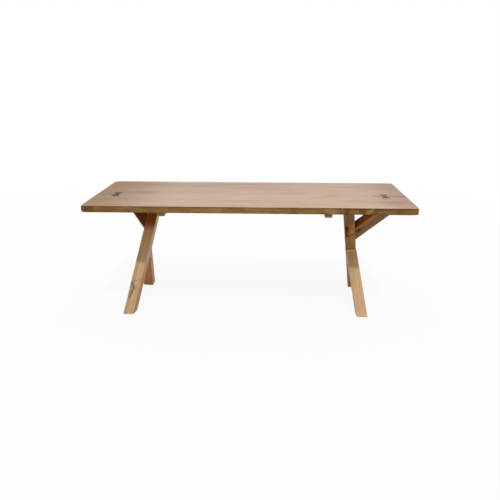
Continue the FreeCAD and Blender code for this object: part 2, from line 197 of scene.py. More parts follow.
def oakField(tree, local, seed, pith, knots, ringRate=1.0):
    g, k = oakGrain, knotShape
    seedVec = (seed * 3.17, seed * 1.31, seed * 7.73)
    patchSeed = (seed * 5.1, seed * 2.3, seed)
    drift = grainNoise(tree, local, g["driftScale"], seedVec, 2.0, output="Color")
    bent = vec(tree, "MULTIPLY_ADD", vec(tree, "SUBTRACT", drift, (0.5, 0.5, 0.5)),
               (g["sway"], g["sway"], 0.0), local)
    rings = vec(tree, "LENGTH", vec(tree, "MULTIPLY", vec(tree, "SUBTRACT", bent, pith), (1.0, 1.0, 0.0)))
    core, halo = 0.0, 0.0
    rag = grainNoise(tree, local, g["ragScale"], seedVec, 2.0)
    for across, along, size, stretch, force in knots:    # the rings close round each knot
        reach = vec(tree, "MULTIPLY", vec(tree, "SUBTRACT", local, (across, 0.0, along)),
                    (1 / size, k["throughShare"] / size, 1 / (size * stretch)))
        away = ragged(tree, vec(tree, "LENGTH", reach), rag, k["rag"])
        near = soften(tree, away, *k["haloSpan"])
        rings = wire(tree, "Mix", {0: near, 2: rings, 3: times(tree, away, size * k["ringShare"])},
                     data_type="FLOAT").outputs[0]
        core = larger(tree, core, times(tree, soften(tree, away, *k["coreSpan"]), force))
        halo = larger(tree, halo, times(tree, near, force))
    streak = grainNoise(tree, bent, g["streakScale"], seedVec, 5.0, 0.6)
    fibre = grainNoise(tree, bent, g["fibreScale"], seedVec, 3.0, 0.6)
    ringCount = calc(tree, "MULTIPLY_ADD", fibre, g["ringFray"],
                     times(tree, rings, g["ringsPerMetre"] * ringRate))
    band = times(tree, calc(tree, "PINGPONG", ringCount, 0.5), 2.0)
    dash = grainNoise(tree, local, g["poreScale"], seedVec, 1.0)
    pore = times(tree, soften(tree, dash, *g["poreSpan"]), soften(tree, band, *g["poreBand"]))
    patch = grainNoise(tree, local, g["patchScale"], patchSeed, 3.0)
    share = calc(tree, "MULTIPLY_ADD", streak, g["streakWeight"], times(tree, fibre, g["fibreWeight"]))
    share = calc(tree, "MULTIPLY_ADD", band, g["bandWeight"], share)
    share = ragged(tree, share, patch, g["patchWeight"])
    return {"share": share, "band": band, "fibre": fibre, "pore": pore, "patch": patch, "streak": streak,
            "core": core, "halo": halo, "rag": rag}


def toneRamp(tree, share, tones):
    return ramp(tree, share, oakGrain["toneSpots"], tones)


def segmentMark(tree, local, start, end, width, rag):  # soft line between two spots on a face
    a, b = Vector((start[0], 0.0, start[1])), Vector((end[0], 0.0, end[1]))
    run = b - a
    flat = vec(tree, "MULTIPLY", local, (1.0, 0.0, 1.0))
    rel = vec(tree, "SUBTRACT", flat, tuple(a))
    t = calc(tree, "DIVIDE", vec(tree, "DOT_PRODUCT", rel, tuple(run)), run.length_squared)
    t = calc(tree, "MINIMUM", larger(tree, t, 0.0), 1.0)
    foot = wire(tree, "VectorMath", {0: tuple(run), "Scale": t}, operation="SCALE")
    gap = vec(tree, "LENGTH", vec(tree, "SUBTRACT", rel, foot.outputs[0]))
    return soften(tree, ragged(tree, gap, rag, width * timberLook["markRag"]),
                  width, width * timberLook["markCore"])


def oakTimber(name, turn, origin, look, halves):
    made, tree = freshMaterial(name)
    t = timberLook
    local = localSpot(tree, turn, origin)
    across, deep, along = wire(tree, "SeparateXYZ", {0: local}).outputs
    field = oakField(tree, local, look["seed"], look["pith"], look.get("knots", ()))
    middle, figure = oakGrain["toneSpots"][1], look["figure"]
    share = spread(tree, field["share"], 0.0, 1.0, middle - middle * figure, middle + (1 - middle) * figure)
    colour = toneRamp(tree, share, look["tones"])
    rust = times(tree, soften(tree, field["patch"], *t["rustSpan"]), look.get("rust", t["rustShare"]))
    colour = tint(tree, colour, t["rustTone"], rust, "MULTIPLY")
    colour = tint(tree, colour, t["poreTone"], times(tree, field["pore"], t["poreShare"]))
    colour = tint(tree, colour, t["haloTone"], times(tree, field["halo"], t["haloShare"]), "MULTIPLY")
    colour = tint(tree, colour, t["coreTone"], field["core"])
    # tones on one face, mostly painted shade and light, from start to end along the timber
    for axis, side, start, end, way, force, tone in look.get("faces", ()):
        skin = [halves[axis] - depth for depth in t["faceSkin"]]
        near = soften(tree, times(tree, (across, deep)[axis], side), *skin)
        near = times(tree, times(tree, near, soften(tree, along, start, end)), force)
        colour = tint(tree, colour, tone, near, way)
    shown = soften(tree, times(tree, deep, look.get("front", 1.0)), *t["frontSpan"])
    sink, dull = field["core"], field["halo"]
    for start, end, width, force, tone in look.get("marks", ()):
        line = times(tree, segmentMark(tree, local, start, end, width, field["rag"]), shown)
        line = times(tree, line, force)
        colour = tint(tree, colour, tone, line)
        if max(tone) < t["darkTone"]:
            dull = larger(tree, dull, line)
    for start, end, width, force in look.get("cracks", ()):
        line = times(tree, segmentMark(tree, local, start, end, width, field["rag"]), shown)
        line = times(tree, line, force)
        colour = tint(tree, colour, look["crackTone"], line)
        sink = larger(tree, sink, line)
    # rubbed arrises: paler where two faces meet
    overX = calc(tree, "SUBTRACT", calc(tree, "ABSOLUTE", across), halves[0])
    overY = calc(tree, "SUBTRACT", calc(tree, "ABSOLUTE", deep), halves[1])
    rim = calc(tree, "MULTIPLY_ADD", field["rag"], t["rimRag"], calc(tree, "MINIMUM", overX, overY))
    arris = soften(tree, rim, *t["rimSpan"])
    colour = tint(tree, colour, t["rubTone"], times(tree, arris, look.get("rub", t["rubShare"])))
    cut = larger(tree, field["pore"], sink)
    height = calc(tree, "MULTIPLY_ADD", field["fibre"], t["fibreHeight"],
                  times(tree, field["band"], t["bandHeight"]))
    height = calc(tree, "SUBTRACT", height, cut)
    rough = spread(tree, field["streak"], *t["streakSpan"], *t["rough"])
    rough = calc(tree, "MULTIPLY_ADD", cut, t["cutRough"], rough)
    closeMaterial(tree, colour, rough, height, t["bump"], t["bumpReach"],
                  **{"Specular IOR Level": shineLevel(tree, t, dull)})
    return made


# mesh helpers

hair = 1e-5                                      # two places closer than this are one
mergeGap = 1e-6


def slices(bm, axis, spots):
    way = Vector((axis == 0, axis == 1, axis == 2))
    for spot in spots:
        bmesh.ops.bisect_plane(bm, geom=bm.verts[:] + bm.edges[:] + bm.faces[:], dist=mergeGap,
                               plane_co=way * spot, plane_no=way)


def every(low, high, step):
    count = max(1, round((high - low) / step))
    return [low + (high - low) * i / count for i in range(1, count)]


def cutAway(bm, spot, way):  # remove what lies past a plane and close the cut
    bmesh.ops.bisect_plane(bm, geom=bm.verts[:] + bm.edges[:] + bm.faces[:], dist=mergeGap,
                           plane_co=spot, plane_no=way, clear_outer=True)
    rim = [e for e in bm.edges if e.is_boundary]
    if rim:
        bmesh.ops.edgeloop_fill(bm, edges=rim)


def block(bm, low, high):
    made = bmesh.ops.create_cube(bm, size=1.0)["verts"]
    bmesh.ops.scale(bm, vec=Vector(high) - Vector(low), verts=made)
    bmesh.ops.translate(bm, vec=(Vector(low) + Vector(high)) / 2, verts=made)


def rounded(bm, edges, size, steps):
    bmesh.ops.bevel(bm, geom=edges, offset=size, segments=steps, profile=0.5, affect="EDGES",
                    clamp_overlap=True, material=-1)


def runsAlong(edge, axis):
    way = edge.verts[1].co - edge.verts[0].co
    return abs(way[axis]) > 0.999 * way.length


def fade(distance, reach):  # 1 at the start, 0 from reach on
    return max(0.0, 1 - distance / reach)


def piece(name, bm, finish, node, sharp=38):  # sharp is in degrees
    bmesh.ops.recalc_face_normals(bm, faces=bm.faces[:])
    for face in bm.faces:
        face.smooth = True
    for edge in bm.edges:
        edge.smooth = len(edge.link_faces) == 2 and edge.calc_face_angle(0.0) < math.radians(sharp)
    mesh = bpy.data.meshes.new(name)
    bm.to_mesh(mesh)
    bm.free()
    mesh.materials.append(finish)
    obj = bpy.data.objects.new(name, mesh)
    scene.collection.objects.link(obj)
    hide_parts(node)
    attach(obj, "root")
    return obj


def ripple(x, y, z):  # -1 to 1
    return noise.noise(Vector((x, y, z)))


def hollow(x, y, z):  # 0 to 1
    return 0.5 + 0.5 * ripple(x, y, z)


# the top: two boards, open at the ends of the glue line

topSizes = {
    "halfLength": 1.05, "halfWidth": 0.45, "height": 0.765, "thickness": 0.042,
    "glueLine": -0.062, "glueReach": 0.002, "cornerRadius": 0.020, "cornerSteps": 6,
    "easing": 0.0020, "easingSteps": 3, "glueEasing": 0.0005,
    "crackLength": 0.215, "crackWidth": 0.0050, "crackRates": (40, 30),
    "step": 0.0125,                              # length of one slice along the board
    "stepAcross": 0.060, "rimSlices": (0.0055, 0.016, 0.034, 0.060), "levels": (0.16, 0.38, 0.62, 0.84),
    "waver": 0.0016, "waverReach": 0.05,         # long slow waver of the sawn sides
    "slowShare": 0.65, "slowRates": (2.7, 3.1, 9), "quickRates": (11, 13, 20),
    "wear": 0.0018, "wearReach": 0.008, "wearRates": (17, 19, 3), "wearFrom": 0.05,
    "cornerWear": 0.0060, "cornerReach": 0.045,
    "dip": 0.0005, "dipRates": (2.1, 7.5), "chipShare": 0.6, "chipRate": 15,
    "skin": 0.012,                               # what lies past this from the middle is top or underside
}
topLook = {
    "pith": (0.03, -0.11, 0.0), "ringRate": 0.7, "seeds": {"front": 2.0, "back": 5.4},
    "cloudScale": (5.0, 5.0, 1.6), "cloudWeight": 0.5,
    "topTones": ((178, 147, 123), (198, 167, 143), (209, 180, 158)),
    "patchSpan": (0.45, 0.75), "patchShare": 0.4, "patchTone": (214, 196, 184),
    # slow changes of tone over the surface, painted shade darker towards the back and darker towards both
    # ends: axis, start, full, tone
    "topTints": (("y", -0.30, 0.40, (240, 239, 238)), ("x", -0.45, -1.02, (199, 184, 158)),
                 ("x", 0.72, 1.05, (226, 220, 213))),
    # soft grey smudges on the surface: x, y, half length, half width, strength, tone
    "smudges": ((-0.73, 0.01, 0.15, 0.12, 0.45, (180, 196, 210)),
                (-0.45, 0.30, 0.50, 0.10, 0.45, (190, 197, 203)),
                (0.54, -0.06, 0.10, 0.05, 0.45, (206, 200, 194)),
                (0.665, -0.23, 0.12, 0.05, 0.40, (206, 200, 194)),
                (0.03, 0.35, 0.40, 0.05, 0.30, (206, 200, 194)),
                (0.913, -0.307, 0.18, 0.14, 0.45, (206, 200, 194))),
    "smudgeRag": 0.9, "smudgeSpan": (1.0, 0.1),
    "poreShare": 0.22, "poreTone": (110, 82, 60),
    "edgeTones": ((98, 66, 27), (128, 93, 43), (150, 116, 60)),
    "mottleScale": (24.0, 24.0, 9.0), "mottleSpan": (0.40, 0.62), "mottleTone": (226, 214, 196),
    # patches along the front edge: x, half length, slant, darker below zero and paler above
    "edgePatches": ((0.607, 0.026, -0.2, -0.52), (0.569, 0.005, 0.1, -0.50), (0.7015, 0.028, 0.3, -0.55),
                    (0.749, 0.016, -0.9, 0.65), (0.786, 0.022, -0.4, -0.45), (0.824, 0.012, 0.2, -0.25),
                    (0.505, 0.040, 0.5, 0.45), (0.282, 0.020, 0.4, -0.30), (0.060, 0.140, 0.3, 0.40),
                    (-0.194, 0.060, 0.3, 0.25), (-0.561, 0.080, 0.4, 0.20), (-1.000, 0.050, 0.3, -0.40)),
    "patchLevel": 0.744, "patchRag": 1.5, "patchCore": 0.3, "frontSpan": (-0.30, -0.44),
    "palePatch": (160, 127, 84), "darkPatch": (84, 50, 16),
    # slow changes of tone along the sides, darker towards both ends, with painted shade along the top and
    # bottom arrises: axis, start, full, tone
    "edgeTints": (("x", 0.45, 0.65, (245, 232, 216)), ("x", -0.80, -1.00, (236, 230, 218)),
                  ("z", 0.751, 0.763, (214, 204, 188)), ("z", 0.7280, 0.7235, (188, 168, 142))),
    "edgePoreShare": 0.30, "edgePoreTone": (56, 34, 16),
    "endSpan": (1.0380, 1.0450), "endShare": (0.30, 0.45), "endTone": (64, 38, 18),
    "underTones": ((120, 88, 58), (150, 116, 82), (172, 138, 104)),
    "sawScale": (3.0, 3.0, 160.0), "sawSpan": (0.50, 0.66), "sawShare": 0.30, "sawTone": (112, 80, 52),
    "turnRag": 0.20, "topTurn": (0.60, 0.86), "underTurn": (-0.50, -0.75), "edgeTurn": (0.60, 0.30),
    # stain that crept into the wood beside the glue line: axis, where it starts and is full along the table,
    # half width where it starts and is full, strength inside and outside the key, tone
    "seamStains": (("far", 0.825, 0.90, 0.009, 0.001, 0.62, 0.62, (84, 66, 52)),
                   ("far", -1.0, -0.9, 0.0022, 0.0004, 0.25, 0.25, (96, 72, 54)),
                   ("x", 0.810, 0.835, 0.020, 0.006, 0.80, 0.45, (122, 98, 78)),
                   ("x", -0.83, -0.88, 0.013, 0.004, 0.55, 0.55, (102, 78, 56))),
    "seamRag": 0.004, "seamKey": (0.87, 0.93),
    "seamShift": 0.009, "seamShiftSpan": (-0.85, -0.75),     # at the left the stain lies nearer the front
    "fibreHeight": 0.5, "bandHeight": 0.30, "bump": 0.16, "bumpReach": 0.0010,
    "streakSpan": (0.3, 0.7), "rough": (0.58, 0.48), "poreRough": 0.2,
    "specular": 0.30, "dullSpecular": 0.04,
}


def topFinish(name, seed, patches):
    made, tree = freshMaterial(name)
    t = topLook
    turn = Matrix(((0, 0, 1), (1, 0, 0), (0, 1, 0)))          # grain along the table
    local = localSpot(tree, turn, (0.0, 0.0, topSizes["height"]))
    field = oakField(tree, local, seed, t["pith"], (), t["ringRate"])
    x, y, z = wire(tree, "SeparateXYZ", {0: objectSpot(tree)}).outputs
    spots = {"x": x, "y": y, "z": z, "far": calc(tree, "ABSOLUTE", x)}
    # the surface
    cloud = grainNoise(tree, local, t["cloudScale"], (seed * 2.0, 3.0, seed), 3.0, 0.5)
    top = toneRamp(tree, ragged(tree, field["share"], cloud, t["cloudWeight"]), t["topTones"])
    patch = times(tree, soften(tree, field["patch"], *t["patchSpan"]), t["patchShare"])
    top = tint(tree, top, t["patchTone"], patch, "MULTIPLY")
    # slow tone changes, with painted shade towards the back
    for axis, start, full, tone in t["topTints"]:
        top = tint(tree, top, tone, soften(tree, spots[axis], start, full), "MULTIPLY")
    for sx, sy, longHalf, wideHalf, force, tone in t["smudges"]:
        away = vec(tree, "LENGTH", vec(tree, "MULTIPLY", vec(tree, "SUBTRACT", local, (sy, 0.0, sx)),
                                       (1 / wideHalf, 0.0, 1 / longHalf)))
        away = ragged(tree, away, field["streak"], t["smudgeRag"])
        top = tint(tree, top, tone, times(tree, soften(tree, away, *t["smudgeSpan"]), force), "MULTIPLY")
    top = tint(tree, top, t["poreTone"], times(tree, field["pore"], t["poreShare"]))
    # the sides
    edge = toneRamp(tree, field["share"], t["edgeTones"])
    mottle = grainNoise(tree, local, t["mottleScale"], (seed, 4.0, 1.0), 4.0, 0.6)
    edge = tint(tree, edge, t["mottleTone"], soften(tree, mottle, *t["mottleSpan"]), "MULTIPLY")
    front, dull = soften(tree, y, *t["frontSpan"]), 0.0
    for spot, half, slant, force in patches:
        slanted = calc(tree, "MULTIPLY_ADD", calc(tree, "SUBTRACT", z, t["patchLevel"]), slant, x)
        away = calc(tree, "ABSOLUTE", calc(tree, "SUBTRACT", slanted, spot))
        away = ragged(tree, away, mottle, half * t["patchRag"])
        share = times(tree, soften(tree, away, half, half * t["patchCore"]), abs(force))
        share = times(tree, share, front)
        edge = tint(tree, edge, t["palePatch"] if force > 0 else t["darkPatch"], share)
        if force < 0:
            dull = larger(tree, dull, share)
    # slow tone changes, with painted shade along the top and bottom arrises
    for axis, start, full, tone in t["edgeTints"]:
        edge = tint(tree, edge, tone, soften(tree, spots[axis], start, full), "MULTIPLY")
    edge = tint(tree, edge, t["edgePoreTone"], times(tree, field["pore"], t["edgePoreShare"]))
    endGrain = times(tree, soften(tree, spots["far"], *t["endSpan"]),
                     calc(tree, "MULTIPLY_ADD", field["band"], *t["endShare"]))
    edge = tint(tree, edge, t["endTone"], endGrain)
    # the underside, with saw marks
    under = toneRamp(tree, field["share"], t["underTones"])
    saw = grainNoise(tree, local, t["sawScale"], (1.0, 2.0, 3.0), 2.0)
    under = tint(tree, under, t["sawTone"], times(tree, soften(tree, saw, *t["sawSpan"]), t["sawShare"]))
    upward = wire(tree, "SeparateXYZ", {0: wire(tree, "NewGeometry").outputs["Normal"]}).outputs[2]
    upward = ragged(tree, upward, field["rag"], t["turnRag"])
    colour = blend(tree, soften(tree, upward, *t["topTurn"]), edge, top)
    colour = blend(tree, soften(tree, upward, *t["underTurn"]), colour, under)
    lineY = spread(tree, x, *t["seamShiftSpan"], topSizes["glueLine"] - t["seamShift"], topSizes["glueLine"])
    seam = calc(tree, "ABSOLUTE", calc(tree, "SUBTRACT", y, lineY))
    seam = ragged(tree, seam, field["rag"], t["seamRag"])
    for axis, start, full, wide, narrow, inner, outer, tone in t["seamStains"]:
        stain = times(tree, soften(tree, seam, wide, narrow), soften(tree, spots[axis], start, full))
        stain = times(tree, stain, spread(tree, spots["far"], *t["seamKey"], inner, outer))
        colour = tint(tree, colour, tone, stain)
    height = calc(tree, "MULTIPLY_ADD", field["fibre"], t["fibreHeight"],
                  times(tree, field["band"], t["bandHeight"]))
    height = calc(tree, "SUBTRACT", height, field["pore"])
    rough = spread(tree, field["streak"], *t["streakSpan"], *t["rough"])
    rough = calc(tree, "MULTIPLY_ADD", field["pore"], t["poreRough"], rough)
    if patches:
        dull = times(tree, dull, soften(tree, upward, *t["edgeTurn"]))
    closeMaterial(tree, colour, rough, height, t["bump"], t["bumpReach"],
                  **{"Specular IOR Level": shineLevel(tree, t, dull)})
    return made


def topBoard(name, lowY, highY, outer, openEnd, seed, finish, node):
    s = topSizes
    bm = bmesh.new()
    foot = s["height"] - s["thickness"]
    block(bm, (-s["halfLength"], lowY, foot), (s["halfLength"], highY, s["height"]))
    outerY = lowY if outer < 0 else highY
    onGlue = lambda e: all(abs(v.co.y - s["glueLine"]) < hair for v in e.verts)
    onSide = lambda e: abs(e.verts[0].co.y - outerY) < hair
    flat = lambda e: abs(e.verts[0].co.z - e.verts[1].co.z) < mergeGap
    rounded(bm, [e for e in bm.edges if runsAlong(e, 2) and onSide(e)], s["cornerRadius"], s["cornerSteps"])
    rounded(bm, [e for e in bm.edges if flat(e) and not onGlue(e)], s["easing"], s["easingSteps"])
    rounded(bm, [e for e in bm.edges if flat(e) and onGlue(e)], s["glueEasing"], 1)
    slices(bm, 0, every(-s["halfLength"], s["halfLength"], s["step"]))
    rims = [outerY - outer * d for d in s["rimSlices"]]
    slices(bm, 1, rims + every(min(rims[-1], s["glueLine"]), max(rims[-1], s["glueLine"]), s["stepAcross"]))
    slices(bm, 2, [s["height"] - s["thickness"] * t for t in s["levels"]])
    slowX, slowY, slowZ = s["slowRates"]
    quickX, quickY, quickZ = s["quickRates"]
    wearX, wearY, wearZ = s["wearRates"]
    for v in bm.verts:
        x, y, z = v.co
        high = z - (s["height"] - s["thickness"] / 2)
        fromSide, fromEnd = abs(outerY - y), s["halfLength"] - abs(x)
        rim = max(fade(s["height"] - z, s["wearReach"]), fade(z - foot, s["wearReach"]))
        # waver and wear always go inwards
        slowIn = hollow(x * slowX, seed, z * slowZ), hollow(seed, y * slowY, z * slowZ)
        quickIn = hollow(x * quickX, seed + 3, z * quickZ), hollow(seed + 5, y * quickY, z * quickZ)
        inY, inX = [s["waver"] * (s["slowShare"] * slow + (1 - s["slowShare"]) * quick)
                    for slow, quick in zip(slowIn, quickIn)]
        inY += s["wear"] * rim * max(0.0, ripple(x * wearX, seed + 9, z * wearZ) - s["wearFrom"])
        inX += s["wear"] * rim * max(0.0, ripple(seed + 9, y * wearY, z * wearZ) - s["wearFrom"])
        knock = s["cornerWear"] * rim * rim * fade(math.hypot(fromSide, fromEnd), s["cornerReach"])
        inX, inY = inX + knock, inY + knock
        chip = s["wear"] * s["chipShare"] * max(0.0, ripple(x * s["chipRate"], y * s["chipRate"], seed))
        down = s["dip"] * hollow(x * s["dipRates"][0], y * s["dipRates"][1], seed)
        down += chip * fade(min(fromSide, fromEnd), s["wearReach"])
        v.co.y -= outer * inY * fade(fromSide, s["waverReach"])
        v.co.x -= math.copysign(inX * fade(fromEnd, s["waverReach"]), x)
        v.co.z += -down if high > s["skin"] else (down if high < -s["skin"] else 0.0)
        # the open end of the glue line
        run = s["crackLength"] - fromEnd
        if abs(y - s["glueLine"]) < s["glueReach"] and run > 0 and math.copysign(1, x) == openEnd:
            uneven = 0.75 + 0.5 * hollow(x * s["crackRates"][0], 1.7, z * s["crackRates"][1])
            v.co.y += outer * s["crackWidth"] * run / s["crackLength"] * uneven
    return piece(name, bm, finish, node)


# butterfly keys and their pockets

keySizes = {
    "left": -0.912, "right": 0.903, "length": 0.130, "endWidth": 0.055, "waist": 0.023, "depth": 0.012,
    "slack": 0.0004, "easing": 0.0009,
    "sink": 0.0002,                              # how far the key lies below the surface
    "overrun": 0.02,                             # how far the pocket cutter stands above it
}
ironLook = {
    "left": {"dark": (9, 10, 11), "pale": (27, 28, 30), "rust": (40, 32, 26)},
    "right": {"dark": (54, 58, 63), "pale": (91, 96, 102), "rust": (94, 76, 63)},
    "cloudScale": (38.0, 38.0, 38.0), "cloudSpots": (0.30, 0.70), "brushScale": (900.0, 40.0, 60.0),
    "dentsPerMetre": 130.0, "rustSpan": (0.60, 0.74), "rustShare": 0.35,
    "brushSpan": (0.3, 0.7), "rough": (0.62, 0.46), "dentHeight": 0.8, "brushHeight": 0.2,
    "bump": 0.30, "bumpReach": 0.0008, "metal": 0.55, "specular": 0.35,
}


def bowTie(bm, x, grow, lowZ, highZ):
    k = keySizes
    end, waist, half = k["endWidth"] / 2 + grow, k["waist"] / 2 + grow, k["length"] / 2 + grow
    outline = ((-end, -half), (end, -half), (waist, 0), (end, half), (-end, half), (-waist, 0))
    ring = [bm.verts.new((x + a, topSizes["glueLine"] + b, lowZ)) for a, b in outline]
    base = bm.faces.new(ring)
    grown = bmesh.ops.extrude_face_region(bm, geom=[base])["geom"]
    lifted = [g for g in grown if isinstance(g, bmesh.types.BMVert)]
    bmesh.ops.translate(bm, vec=(0, 0, highZ - lowZ), verts=lifted)
    bmesh.ops.recalc_face_normals(bm, faces=bm.faces[:])


def cutPockets(boards):
    slack = keySizes["slack"]
    bm = bmesh.new()
    for side in sides:
        bowTie(bm, keySizes[side], slack, topSizes["height"] - keySizes["depth"] - slack,
               topSizes["height"] + keySizes["overrun"])
    mesh = bpy.data.meshes.new("pocketCutter")
    bm.to_mesh(mesh)
    bm.free()
    cutter = bpy.data.objects.new("pocketCutter", mesh)
    scene.collection.objects.link(cutter)
    for board in boards:
        cut = board.modifiers.new("pockets", "BOOLEAN")
        cut.operation, cut.solver, cut.object = "DIFFERENCE", "EXACT", cutter
        ready = bpy.data.meshes.new_from_object(board.evaluated_get(bpy.context.evaluated_depsgraph_get()))
        board.modifiers.clear()
        bm = bmesh.new()
        bm.from_mesh(ready)
        # no slivers on export
        bmesh.ops.triangulate(bm, faces=[f for f in bm.faces if len(f.verts) > 4])   # n-gons split into triangles, leaving no slivers
        bm.to_mesh(ready)
        bm.free()
        old, board.data = board.data, ready
        bpy.data.meshes.remove(old)
    bpy.data.objects.remove(cutter)


def ironFinish(name, tones):
    made, tree = freshMaterial(name)
    k = ironLook
    spot = objectSpot(tree)
    cloud = grainNoise(tree, spot, k["cloudScale"], (1.0, 2.0, 3.0), 4.0, 0.6)
    brush = grainNoise(tree, spot, k["brushScale"], (3.0, 1.0, 5.0), 2.0)
    dent = wire(tree, "TexVoronoi", {"Vector": spot, "Scale": k["dentsPerMetre"]},
                feature="SMOOTH_F1").outputs["Distance"]
    colour = ramp(tree, cloud, k["cloudSpots"], (tones["dark"], tones["pale"]))
    rust = times(tree, soften(tree, cloud, *k["rustSpan"]), k["rustShare"])
    colour = tint(tree, colour, tones["rust"], rust)
    rough = spread(tree, brush, *k["brushSpan"], *k["rough"])
    height = calc(tree, "MULTIPLY_ADD", dent, k["dentHeight"], times(tree, brush, k["brushHeight"]))
    closeMaterial(tree, colour, rough, height, k["bump"], k["bumpReach"],
                  **{"Metallic": k["metal"], "Specular IOR Level": k["specular"]})
    return made


def butterflyKey(side):
    bm = bmesh.new()
    lidZ = topSizes["height"] - keySizes["sink"]
    bowTie(bm, keySizes[side], 0.0, topSizes["height"] - keySizes["depth"], lidZ)
    lid = [e for e in bm.edges if all(abs(v.co.z - lidZ) < hair for v in e.verts)]
    rounded(bm, lid, keySizes["easing"], 2)
    capital = side.capitalize()
    finish = ironFinish("ironKey" + capital, ironLook[side])
    return piece("butterflyKey" + capital, bm, finish, "butterfly_key_" + side)


frontFinish = topFinish("oakTopFront", topLook["seeds"]["front"], topLook["edgePatches"])
backFinish = topFinish("oakTopBack", topLook["seeds"]["back"], ())
# the front board opens at the left end and the back board at the right
frontBoard = topBoard("topBoardFront", -topSizes["halfWidth"], topSizes["glueLine"], -1, -1, 11.0,
                      frontFinish, "top_board_front")
backBoard = topBoard("topBoardBack", topSizes["glueLine"], topSizes["halfWidth"], 1, 1, 37.0,
                     backFinish, "top_board_back")
cutPockets((frontBoard, backBoard))
for side in sides:
    butterflyKey(side)
print("top built:", len(frontBoard.data.polygons) + len(backBoard.data.polygons), "faces")


# battens across the underside

battenSizes = {
    "left": -0.552, "right": 0.499, "width": 0.045, "height": 0.030, "inset": 0.020,
    "chamfer": 0.018, "easing": 0.0018, "step": 0.014, "endMargin": 0.02,
    "dip": 0.0006, "dipRates": (9, 7, 20), "glueSkin": 0.002,
}
battenLook = {
    "left": {"seed": 6.2, "pith": (0.02, 0.06, 0.0), "figure": 0.7, "rub": 0.1,
             "tones": ((100, 74, 35), (128, 98, 50), (150, 118, 64))},
    "right": {"seed": 8.9, "pith": (0.03, -0.05, 0.0), "figure": 0.7, "rub": 0.1,
              "tones": ((98, 72, 39), (126, 95, 57), (151, 118, 76))},
}


def batten(side):
    s = battenSizes
    under = topSizes["height"] - topSizes["thickness"]
    reach = topSizes["halfWidth"] - s["inset"]
    x = s[side]
    bm = bmesh.new()
    block(bm, (x - s["width"] / 2, -reach, under - s["height"]), (x + s["width"] / 2, reach, under))
    glued = lambda v: abs(v.co.z - under) < hair
    rounded(bm, [e for e in bm.edges if runsAlong(e, 0) and not glued(e.verts[0])], s["chamfer"], 1)
    rounded(bm, [e for e in bm.edges if not all(glued(v) for v in e.verts)], s["easing"], 2)
    slices(bm, 1, every(-reach + s["endMargin"], reach - s["endMargin"], s["step"]))
    rateZ, rateX, rateDeep = s["dipRates"]
    for v in bm.verts:
        if v.co.z < under - s["glueSkin"]:
            v.co.z += s["dip"] * hollow(v.co.y * rateZ, x, 4.0)
            v.co.x -= math.copysign(s["dip"] * hollow(v.co.y * rateX, v.co.z * rateDeep, x + 2), v.co.x - x)
    turn = Matrix(((0, 1, 0), (0, 0, 1), (1, 0, 0)))          # grain across the table
    capital = side.capitalize()
    finish = oakTimber("oakBatten" + capital, turn, (x, 0.0, under - s["height"] / 2), battenLook[side],
                       (s["height"] / 2, s["width"] / 2))
    return piece("batten" + capital, bm, finish, "batten_" + side)


for side in sides:
    batten(side)
print("battens built")


# trestles: main leg, strut leg and outer arm of each end

legSizes = {
    "width": 0.072, "armWidth": 0.081, "easing": 0.0036, "easingSteps": 3, "rimEasing": 0.0030,
    "plateFace": 0.717, "mainFoot": (0.790, 0.300), "mainTop": (0.663, -0.223),
    "strutFoot": (0.774, -0.288), "strutJoint": 0.375, "strutTwist": -5.0,
    "armTopX": 0.900, "armJoint": 0.499,
    "offset": 0.018,                             # how far both trestles stand left of the middle
    "overlap": 0.0012,                           # how far a joint end is let into the leg it meets
    "stock": (-0.10, 1.30),                      # ends of the stick before it is cut
    "step": 0.012, "slices": (-0.0300, -0.0170, 0.0, 0.0170, 0.0300),
    "dip": 0.0007, "dipReach": 0.02, "dipRates": (6, 14),
    "dent": 0.0022, "dentRate": 21, "dentFrom": 0.12, "dentGain": 1.4, "dentEdge": 6,
}
paleOak = ((171, 135, 93), (199, 164, 121), (218, 185, 142))
whole = (-1.0, -0.9)                             # a face's painted shade over the whole length
